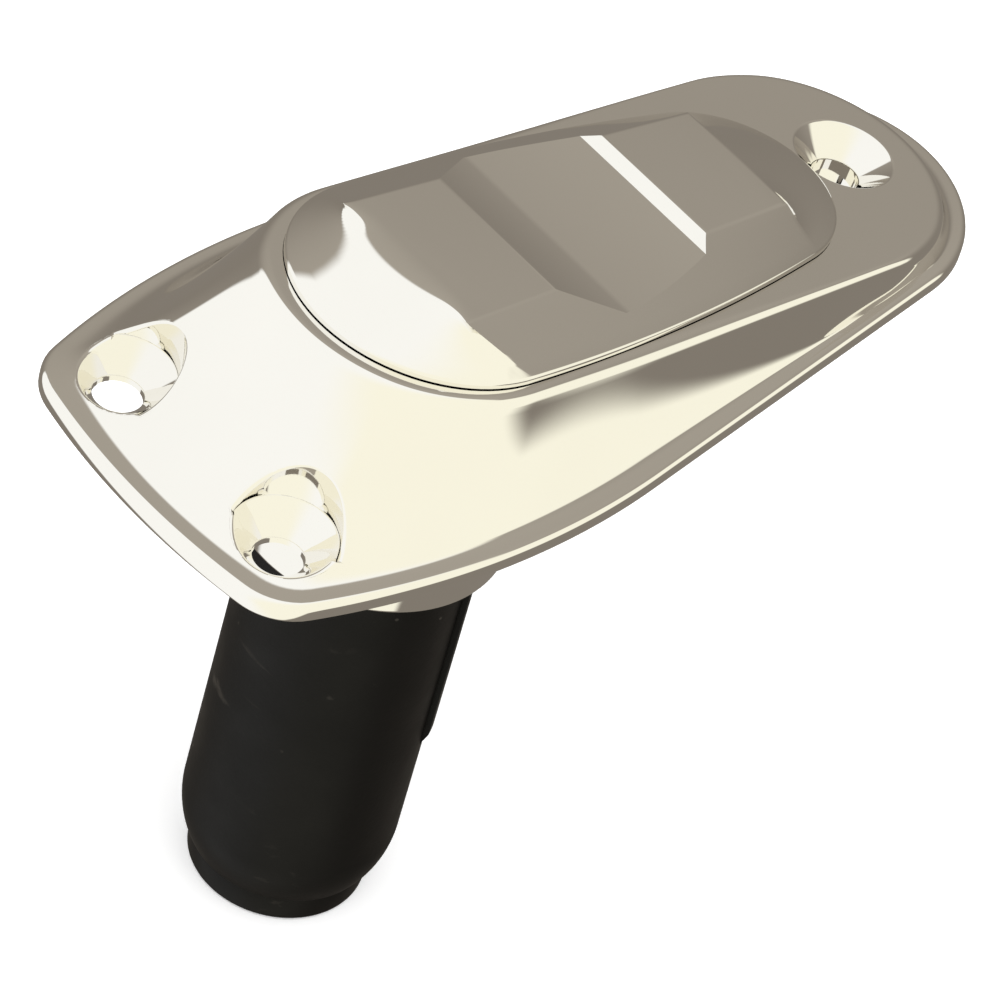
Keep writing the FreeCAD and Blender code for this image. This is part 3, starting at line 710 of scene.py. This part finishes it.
def arc_through(a, b, c, steps):
    """Points of the arc through three points."""
    d = 2 * (a.x * (b.y - c.y) + b.x * (c.y - a.y) + c.x * (a.y - b.y))
    ux = (a.length_squared * (b.y - c.y) + b.length_squared * (c.y - a.y)
          + c.length_squared * (a.y - b.y)) / d
    uy = (a.length_squared * (c.x - b.x) + b.length_squared * (a.x - c.x)
          + c.length_squared * (b.x - a.x)) / d
    center = Vector((ux, uy))
    start, end = a - center, c - center
    turn = start.angle(end)
    points = []
    for step in range(steps + 1):
        share = step / steps
        mixed = start * math.sin((1 - share) * turn) + end * math.sin(share * turn)
        points.append(center + mixed / math.sin(turn))
    return points


def scoop_rim(wall_point, rim, away):
    """The rounded rim of the scoop, from its wall to just over the top of the cap."""
    rim = Vector(rim)
    inside = rim + (Vector(wall_point) - rim).normalized() * scoop_soft
    outside = rim + Vector((away * scoop_soft, 0))
    sunk = [p - Vector((0, 0.005 * MM)) for p in soft_edge(inside, rim, outside, 4)]
    return sunk + [outside + Vector((away * 0.3 * MM, 0.15 * MM))]


def scoop_cutter():
    """The scoop's section, a sloping wall, a hollow floor and a steep push face, drawn across."""
    reach = cap_front + 5 * MM
    outline = list(reversed(scoop_rim(scoop_foot, scoop_front, -1)))
    outline += arc_through(Vector(scoop_foot), Vector(scoop_low), Vector(scoop_rear), 20)
    outline += scoop_rim(scoop_rear, scoop_rear_top, 1)
    over = cap_height + 5 * MM
    outline += [Vector((outline[-1].x, over)), Vector((outline[0].x, over))]
    bm = bmesh.new()
    face = bm.faces.new([bm.verts.new((p.x, -reach, p.y)) for p in outline])
    made = bmesh.ops.extrude_face_region(bm, geom=[face])["geom"]
    bmesh.ops.translate(bm, verts=[g for g in made if isinstance(g, bmesh.types.BMVert)],
                        vec=(0, 2 * reach, 0))
    return to_object(bm, "scoop_cutter")


def make_cap():
    cap = ring_solid(cap_lines(), "cap_casting")
    cutter = scoop_cutter()
    sources = [smooth_source(cap), smooth_source(cutter)]
    combine(cap, cutter, "DIFFERENCE")
    carry_normals(cap, sources)
    return cap


cap = make_cap()
neck = round_ended(neck_front, neck_rear, neck_half, neck_low, neck_high, "neck")
smooth(neck)
for piece in (cap, neck):
    piece.data.transform(on_deck)
print("cap:", len(cap.data.polygons), "faces")

# %% [markdown]
# The barrel is a turned tube with a flange at the top and a rounded lower end, and a raised half
# shell on its rear side. A spun outline is the plain way to make turned work, and its corners are
# rounded in the outline. The raised shell is the same thing, spun through part of a turn.

# %% Socket barrel and end cap
barrel_radius, barrel_nose = 12.55 * MM, 10.9 * MM
barrel_top = 8.2 * MM
ring_top = 3.2 * MM
shoulder, barrel_bottom = -64.5 * MM, -71.0 * MM
plug_stop, carrier_ledge = -37.0 * MM, -55.0 * MM
carrier_radius, chamber_radius = 9.3 * MM, 8.8 * MM
rib_radius, rib_low, rib_angle = 13.2 * MM, -48.5 * MM, math.radians(124)
key_half, key_reach = 1.6 * MM, 11.1 * MM


def barrel_blank():
    outer = [(0, barrel_top, 0), (13.6 * MM, barrel_top, 0.4 * MM), (13.6 * MM, ring_top, 0.2 * MM),
             (barrel_radius, ring_top, 0.2 * MM), (barrel_radius, shoulder, 0)]
    points = rounded(outer)
    drop = shoulder - barrel_bottom
    bulge = Vector((barrel_nose + (barrel_radius - barrel_nose) * 0.72, shoulder - drop * 0.55))
    points = points[:-1] + arc_through(Vector((barrel_radius, shoulder)), bulge,
                                       Vector((barrel_nose, barrel_bottom)), 14)
    points.append(Vector((0, barrel_bottom)))
    return turned(points, "barrel", closed=False)


def barrel_core():
    """The stepped bore as a cutter, with a small lead-in at its mouth."""
    points = [(0, barrel_top + below, 0), (bore_radius + 1.4 * MM, barrel_top + below, 0),
              (bore_radius, barrel_top - 0.4 * MM, 0.2 * MM), (bore_radius, plug_stop, 0.3 * MM),
              (carrier_radius, plug_stop, 0.2 * MM), (carrier_radius, carrier_ledge, 0.2 * MM),
              (chamber_radius, carrier_ledge, 0.2 * MM), (chamber_radius, barrel_bottom - below, 0),
              (0, barrel_bottom - below, 0)]
    return turned(rounded(points, 3), "core", closed=False)


def barrel_rib():
    inner = barrel_radius - 0.5 * MM
    points = [(inner, -3.9 * MM, 0), (rib_radius, -3.9 * MM, 0.2 * MM),
              (rib_radius, rib_low + 1.2 * MM, 0.5 * MM), (barrel_radius, rib_low - 0.6 * MM, 0),
              (inner, rib_low - 0.6 * MM, 0)]
    rib = turned(rounded(points), "rib", angle=rib_angle, steps=48)
    rib.data.transform(Matrix.Rotation(-rib_angle / 2, 4, "Z"))
    return rib


def key_slot():
    bm = bmesh.new()
    bmesh.ops.create_cube(bm, size=1.0)
    bmesh.ops.scale(bm, verts=bm.verts, vec=(key_reach, 2 * key_half, barrel_top + below - plug_stop))
    bmesh.ops.translate(bm, verts=bm.verts,
                        vec=(key_reach / 2, 0, (barrel_top + below + plug_stop) / 2))
    return to_object(bm, "key_slot")


def make_barrel():
    barrel = barrel_blank()
    combine(barrel, barrel_rib(), "UNION")
    combine(barrel, barrel_core(), "DIFFERENCE")
    combine(barrel, key_slot(), "DIFFERENCE")
    return smooth(barrel)


barrel = make_barrel()
end_low, end_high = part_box("end_cap")
end_radius = end_high.x


def make_end_cap():
    spigot, spigot_inner, spigot_top = 8.75 * MM, 7.15 * MM, barrel_bottom + 5 * MM
    inner_floor = end_low.z + 1.8 * MM
    gland = 3.6 * MM
    groove_low, groove_high = barrel_bottom + 1.8 * MM, barrel_bottom + 3.2 * MM
    points = [(gland, end_low.z, 0.2 * MM), (end_radius, end_low.z, 0.8 * MM),
              (end_radius, barrel_bottom, 0.15 * MM), (spigot, barrel_bottom, 0),
              (spigot, groove_low, 0), (spigot - 0.7 * MM, groove_low, 0.2 * MM),
              (spigot - 0.7 * MM, groove_high, 0.2 * MM), (spigot, groove_high, 0),
              (spigot, spigot_top, 0.3 * MM), (spigot_inner, spigot_top, 0.2 * MM),
              (spigot_inner, inner_floor, 0.3 * MM), (gland, inner_floor, 0)]
    return smooth(turned(rounded(points), "end_piece"))


end_piece = make_end_cap()
print("barrel:", len(barrel.data.polygons), "faces; end piece:", len(end_piece.data.polygons))

# %% [markdown]
# Shared surface effects are node groups: a slow wander of a value, fine scratches, and specks.
# Each finish places them with its own values. The groups put out only masks and heights, and the
# shader with its constant values stays in the material.

# %% Node groups
def new_group(name, inputs, outputs):
    """An empty shader node group with float inputs (name, default) and float outputs."""
    group = bpy.data.node_groups.new(name, "ShaderNodeTree")
    for label, value in inputs:
        socket = group.interface.new_socket(label, in_out="INPUT", socket_type="NodeSocketFloat")
        socket.default_value = value
    for label in outputs:
        group.interface.new_socket(label, in_out="OUTPUT", socket_type="NodeSocketFloat")
    start, end = group.nodes.new("NodeGroupInput"), group.nodes.new("NodeGroupOutput")
    place = group.nodes.new("ShaderNodeTexCoord")
    return group, start, end, place.outputs["Object"]


def add(tree, kind, **values):
    """A node with its properties and its unlinked inputs set."""
    node = tree.nodes.new(kind)
    for label, value in values.items():
        if hasattr(node, label):
            setattr(node, label, value)
        else:
            node.inputs[label.replace("_", " ")].default_value = value
    return node


def make_wander():
    """A slow, cloudy value between Low and High."""
    group, start, end, place = new_group("surface_wander", [("Scale", 60), ("Low", 0), ("High", 1)],
                                         ["Value"])
    noise = add(group, "ShaderNodeTexNoise", Detail=3.0, Roughness=0.5)
    spread = add(group, "ShaderNodeMapRange", From_Min=0.32, From_Max=0.68)
    group.links.new(place, noise.inputs["Vector"])
    group.links.new(start.outputs["Scale"], noise.inputs["Scale"])
    group.links.new(noise.outputs["Fac"], spread.inputs["Value"])
    group.links.new(start.outputs["Low"], spread.inputs["To Min"])
    group.links.new(start.outputs["High"], spread.inputs["To Max"])
    group.links.new(spread.outputs["Result"], end.inputs["Value"])
    return group


def make_scuffs():
    """Thin, broken scuff lines that run along one direction."""
    group, start, end, place = new_group("scuffs", [("Scale", 200), ("Amount", 0.5)], ["Mask"])
    stretch = add(group, "ShaderNodeMapping")
    stretch.inputs["Rotation"].default_value = (0.5, 0.35, 0.2)
    stretch.inputs["Scale"].default_value = (1.0, 0.12, 1.3)
    lines = add(group, "ShaderNodeTexNoise", Detail=4.0, Roughness=0.6)
    patch = add(group, "ShaderNodeTexNoise", Scale=45.0, Detail=2.0)
    sharp = add(group, "ShaderNodeMapRange", From_Min=0.62, From_Max=0.74)
    spots = add(group, "ShaderNodeMapRange", From_Min=0.5, From_Max=0.66)
    both = add(group, "ShaderNodeMath", operation="MULTIPLY")
    scaled = add(group, "ShaderNodeMath", operation="MULTIPLY")
    group.links.new(place, stretch.inputs["Vector"])
    group.links.new(stretch.outputs["Vector"], lines.inputs["Vector"])
    group.links.new(start.outputs["Scale"], lines.inputs["Scale"])
    group.links.new(place, patch.inputs["Vector"])
    group.links.new(lines.outputs["Fac"], sharp.inputs["Value"])
    group.links.new(patch.outputs["Fac"], spots.inputs["Value"])
    group.links.new(sharp.outputs["Result"], both.inputs[0])
    group.links.new(spots.outputs["Result"], both.inputs[1])
    group.links.new(both.outputs["Value"], scaled.inputs[0])
    group.links.new(start.outputs["Amount"], scaled.inputs[1])
    group.links.new(scaled.outputs["Value"], end.inputs["Mask"])
    return group


def make_specks():
    """Small bright specks of dust or chips, few and uneven."""
    group, start, end, place = new_group("specks", [("Scale", 500), ("Size", 0.1)], ["Mask"])
    cells = add(group, "ShaderNodeTexVoronoi", Randomness=1.0)
    patch = add(group, "ShaderNodeTexNoise", Scale=70.0, Detail=2.0)
    few = add(group, "ShaderNodeMapRange", From_Min=0.56, From_Max=0.62)
    small = add(group, "ShaderNodeMath", operation="LESS_THAN")
    both = add(group, "ShaderNodeMath", operation="MULTIPLY")
    group.links.new(place, cells.inputs["Vector"])
    group.links.new(place, patch.inputs["Vector"])
    group.links.new(start.outputs["Scale"], cells.inputs["Scale"])
    group.links.new(cells.outputs["Distance"], small.inputs[0])
    group.links.new(start.outputs["Size"], small.inputs[1])
    group.links.new(patch.outputs["Fac"], few.inputs["Value"])
    group.links.new(few.outputs["Result"], both.inputs[0])
    group.links.new(small.outputs["Value"], both.inputs[1])
    group.links.new(both.outputs["Value"], end.inputs["Mask"])
    return group


wander, scuffs, specks = make_wander(), make_scuffs(), make_specks()
print("node groups:", [g.name for g in bpy.data.node_groups])

# %% [markdown]
# Finishes. Chrome is nearly a perfect mirror, so its detail is in small changes of roughness, a
# faint haze in its colour and a very low waviness from polishing. The plastics and rubber are dull,
# so theirs is in colour, grain and scuffs. Metal parts inside are plainer: sheet steel and brass.

# %% Materials
def finish_base(name, metallic, **constants):
    material = bpy.data.materials.new(name)
    material.use_nodes = True
    tree = material.node_tree
    shader = tree.nodes["Principled BSDF"]
    shader.inputs["Metallic"].default_value = metallic
    for label, value in constants.items():
        shader.inputs[label.replace("_", " ")].default_value = value
    return material, tree, shader


def use_group(tree, group, **values):
    node = tree.nodes.new("ShaderNodeGroup")
    node.node_tree = group
    for label, value in values.items():
        node.inputs[label].default_value = value
    return node


def two_tone(tree, shader, factor, first, second):
    """Base colour that changes from one colour to another with a mask."""
    mix = tree.nodes.new("ShaderNodeMix")
    mix.data_type = "RGBA"
    mix.inputs["A"].default_value = (*first, 1)
    mix.inputs["B"].default_value = (*second, 1)
    tree.links.new(factor, mix.inputs["Factor"])
    tree.links.new(mix.outputs["Result"], shader.inputs["Base Color"])
    return mix


def relief(tree, shader, height, distance, strength=1.0):
    bump = add(tree, "ShaderNodeBump", Strength=strength, Distance=distance)
    tree.links.new(height, bump.inputs["Height"])
    tree.links.new(bump.outputs["Normal"], shader.inputs["Normal"])


def chrome(name, roughness, wave, haze=0.5):
    """Polished plate over a casting; roughness is (clean, hazy), wave the depth of waviness."""
    material, tree, shader = finish_base(name, 1.0)
    cloud = use_group(tree, wander, Scale=35.0, Low=0.0, High=haze)
    two_tone(tree, shader, cloud.outputs["Value"], (0.945, 0.93, 0.89), (0.91, 0.895, 0.85))
    dull = use_group(tree, wander, Scale=90.0, Low=roughness[0], High=roughness[1])
    tree.links.new(dull.outputs["Value"], shader.inputs["Roughness"])
    waves = use_group(tree, wander, Scale=110.0, Low=0.0, High=1.0)
    relief(tree, shader, waves.outputs["Value"], wave)
    return material


def moulded(name, colour, worn, roughness, grain, scuff=0.5, speck=0.09, cloudy=0.1,
             shine=0.3):
    """Dull moulded plastic or rubber, with grain, scuffs and specks of dust."""
    material, tree, shader = finish_base(name, 0.0, Specular_IOR_Level=shine)
    lines = use_group(tree, scuffs, Scale=260.0, Amount=scuff)
    dots = use_group(tree, specks, Scale=420.0, Size=speck)
    either = add(tree, "ShaderNodeMath", operation="MAXIMUM")
    tree.links.new(lines.outputs["Mask"], either.inputs[0])
    tree.links.new(dots.outputs["Mask"], either.inputs[1])
    cloud = use_group(tree, wander, Scale=55.0, Low=0.0, High=cloudy)
    total = add(tree, "ShaderNodeMath", operation="ADD", use_clamp=True)
    tree.links.new(either.outputs["Value"], total.inputs[0])
    tree.links.new(cloud.outputs["Value"], total.inputs[1])
    two_tone(tree, shader, total.outputs["Value"], colour, worn)
    dull = use_group(tree, wander, Scale=130.0, Low=roughness[0], High=roughness[1])
    tree.links.new(dull.outputs["Value"], shader.inputs["Roughness"])
    fine = use_group(tree, wander, Scale=1600.0, Low=0.0, High=1.0)
    relief(tree, shader, fine.outputs["Value"], grain, 0.6)
    return material


def worked_metal(name, colour, dark, roughness, scale):
    """Sheet or turned metal with fine tool marks."""
    material, tree, shader = finish_base(name, 1.0)
    cloud = use_group(tree, wander, Scale=scale, Low=0.0, High=1.0)
    two_tone(tree, shader, cloud.outputs["Value"], colour, dark)
    dull = use_group(tree, wander, Scale=scale * 3, Low=roughness[0], High=roughness[1])
    tree.links.new(dull.outputs["Value"], shader.inputs["Roughness"])
    marks = use_group(tree, scuffs, Scale=900.0, Amount=1.0)
    relief(tree, shader, marks.outputs["Mask"], 0.01 * MM)
    return material


plate_chrome = chrome("plate_chrome", (0.03, 0.055), 0.0012 * MM)
cap_chrome = chrome("cap_chrome", (0.03, 0.05), 0.0008 * MM)
black_plastic = moulded("black_plastic", (0.0022, 0.0019, 0.0015), (0.07, 0.06, 0.048),
                        (0.38, 0.5), 0.008 * MM, cloudy=0.02, shine=0.12)
carrier_plastic = moulded("carrier_plastic", (0.045, 0.030, 0.018), (0.13, 0.10, 0.07),
                          (0.35, 0.5), 0.006 * MM)
seal_rubber = moulded("seal_rubber", (0.012, 0.012, 0.012), (0.09, 0.09, 0.085),
                      (0.6, 0.75), 0.012 * MM, scuff=0.2)
steel = worked_metal("steel", (0.62, 0.61, 0.59), (0.5, 0.49, 0.47), (0.22, 0.36), 150.0)
brass = worked_metal("contact_brass", (0.72, 0.52, 0.23), (0.6, 0.42, 0.18), (0.18, 0.3), 120.0)

# %% [markdown]
# Each new piece takes the place of its CAD part and rides on the same body, so the cap slides with
# its neck. The parts that stay as they are get the finish of their own material. Their mesh is
# welded and creased by modifiers, because round parts would else look faceted.

# %% Dress the pieces and put them on their bodies
def dress(piece, material):
    piece.data.materials.clear()
    piece.data.materials.append(material)


for piece, node, body, material, slot in (
    (plate, "base_plate", "base", plate_chrome, "plate_chrome"),
    (cap, "sliding_cap", "cap", cap_chrome, "cap_chrome"),
    (barrel, "socket_barrel", "base", black_plastic, "black_plastic"),
    (end_piece, "end_cap", "base", black_plastic, "black_plastic"),
):
    dress(piece, material)
    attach(piece, body)
    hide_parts(node)
dress(neck, cap_chrome)
neck.name = "cap_neck"
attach(neck, "cap")

for node, material in {
    "slider_plate": steel, "slider_screws": steel, "friction_springs": steel,
    "carrier_screws": steel, "terminal_screws": steel, "mouth_seal": seal_rubber,
    "barrel_top_gasket": seal_rubber, "barrel_o_ring": seal_rubber, "end_cap_o_ring": seal_rubber,
    "cable_gland": seal_rubber, "retaining_ring": black_plastic,
    "contact_carrier": carrier_plastic, "contact_pin_positive": brass,
    "contact_pin_negative": brass, "terminal_positive": brass, "terminal_negative": brass,
}.items():
    part = frame["nodes"][node]
    part.data.materials.clear()
    part.data.materials.append(material)
    part.data.shade_smooth()
    weld = part.modifiers.new("weld", "WELD")
    weld.merge_threshold = 0.001 * MM
    crease = part.modifiers.new("creases", "EDGE_SPLIT")
    crease.split_angle = math.radians(32)
print("inner pieces dressed")

# %% [markdown]
# The studio. A mirror has no colour of its own, so the studio is what gives chrome its tones. Only
# mirrors see the tent: it is white, cream on the near side, and warm grey to the right and above.
# Flat faces that look up mirror the grey, and faces that look to the front mirror the white. All
# other light is plain white. The floor is a pale disc that glows a little, as a light table does,
# so the shadow stays faint. It is kept out of the mirror, which would else turn the far sides white.

# %% Stage and light
def make_floor():
    bm = bmesh.new()
    bmesh.ops.create_circle(bm, cap_ends=True, segments=128, radius=0.45)
    bmesh.ops.translate(bm, verts=bm.verts, vec=(0.02, 0, cad_low.z - 0.02 * MM))
    floor = to_object(bm, "floor")
    material, tree, shader = finish_base("floor_pale", 0.0)
    cloud = use_group(tree, wander, Scale=8.0, Low=0.0, High=1.0)
    two_tone(tree, shader, cloud.outputs["Value"], (0.95, 0.95, 0.95), (0.94, 0.94, 0.94))
    shader.inputs["Roughness"].default_value = 0.9
    shader.inputs["Emission Color"].default_value = (1, 1, 1, 1)
    shader.inputs["Emission Strength"].default_value = 0.3
    floor.data.materials.append(material)
    floor.visible_glossy = False


def ramp_along(tree, axis, start, end):
    """A smooth mask that rises along a direction of the studio."""
    place = tree.nodes.new("ShaderNodeTexCoord")
    along = add(tree, "ShaderNodeVectorMath", operation="DOT_PRODUCT")
    along.inputs[1].default_value = axis
    ramp = add(tree, "ShaderNodeMapRange", From_Min=start, From_Max=end)
    ramp.interpolation_type = "SMOOTHSTEP"
    tree.links.new(place.outputs["Generated"], along.inputs[0])
    tree.links.new(along.outputs["Value"], ramp.inputs["Value"])
    return ramp.outputs["Result"]


def blend(tree, factor, first, second):
    """A colour between two others, each of them a fixed colour or another node's output."""
    mix = tree.nodes.new("ShaderNodeMix")
    mix.data_type = "RGBA"
    tree.links.new(factor, mix.inputs["Factor"])
    for label, colour in (("A", first), ("B", second)):
        if isinstance(colour, tuple):
            mix.inputs[label].default_value = (*colour, 1)
        else:
            tree.links.new(colour, mix.inputs[label])
    return mix.outputs["Result"]


def make_world():
    """White tent with a cream front and a warm grey side, seen by mirrors; plain white for the rest."""
    world = bpy.data.worlds.new("studio")
    bpy.context.scene.world = world
    world.use_nodes = True
    tree = world.node_tree
    tree.nodes.clear()
    tent = blend(tree, ramp_along(tree, (0, -1, 0), -0.1, 0.45), (1.0, 1.0, 0.98),
                 (1.0, 0.975, 0.83))
    grey = blend(tree, ramp_along(tree, (0, 0, 1), -0.2, 1.0), (0.23, 0.205, 0.175),
                 (0.40, 0.365, 0.315))
    near = add(tree, "ShaderNodeMath", operation="MULTIPLY")
    tree.links.new(ramp_along(tree, (0, -1, 0), 0.46, 0.54), near.inputs[0])
    tree.links.new(ramp_along(tree, (0, 0, 1), -0.3, -0.15), near.inputs[1])
    grey_side = blend(tree, ramp_along(tree, (1.0, 0.3, -0.4), 0.05, 0.12), tent, grey)
    mirrored = blend(tree, near.outputs["Value"], grey_side, tent)
    rays = tree.nodes.new("ShaderNodeLightPath")
    sky = add(tree, "ShaderNodeBackground", Strength=1.0)
    out = tree.nodes.new("ShaderNodeOutputWorld")
    tree.links.new(blend(tree, rays.outputs["Is Glossy Ray"], (1.0, 1.0, 1.0), mirrored),
                   sky.inputs["Color"])
    tree.links.new(sky.outputs["Background"], out.inputs["Surface"])


def soft_light(name, place, target, size, power):
    """A round soft light, left out of the reflections."""
    lamp = bpy.data.lights.new(name, "AREA")
    lamp.shape = "DISK"
    lamp.size = size
    lamp.energy = power
    light = bpy.data.objects.new(name, lamp)
    bpy.context.scene.collection.objects.link(light)
    light.location = place
    light.rotation_euler = (Vector(target) - Vector(place)).to_track_quat("-Z", "Y").to_euler()
    light.visible_glossy = False


make_floor()
make_world()
soft_light("top_light", (-0.25, -0.2, 1.2), (0.02, 0, 0), size=1.0, power=9.0)
bpy.context.scene.view_settings.view_transform = "Standard"

# %% [markdown]
# The camera stands in front, to the left and above, far enough back for the long flat look of a
# catalogue picture, and is rolled a little, so that the barrel leans.

# %% Camera
lens = bpy.data.cameras.new("camera")
lens.lens, lens.sensor_width = 238.3, 36.0
lens.clip_start, lens.clip_end = 0.05, 10.0
camera = bpy.data.objects.new("camera", lens)
bpy.context.scene.collection.objects.link(camera)
camera.location = (-0.40624, -0.33234, 0.47748)
camera.rotation_euler = [math.radians(a) for a in (45.776, -12.084, -40.633)]
bpy.context.scene.camera = camera
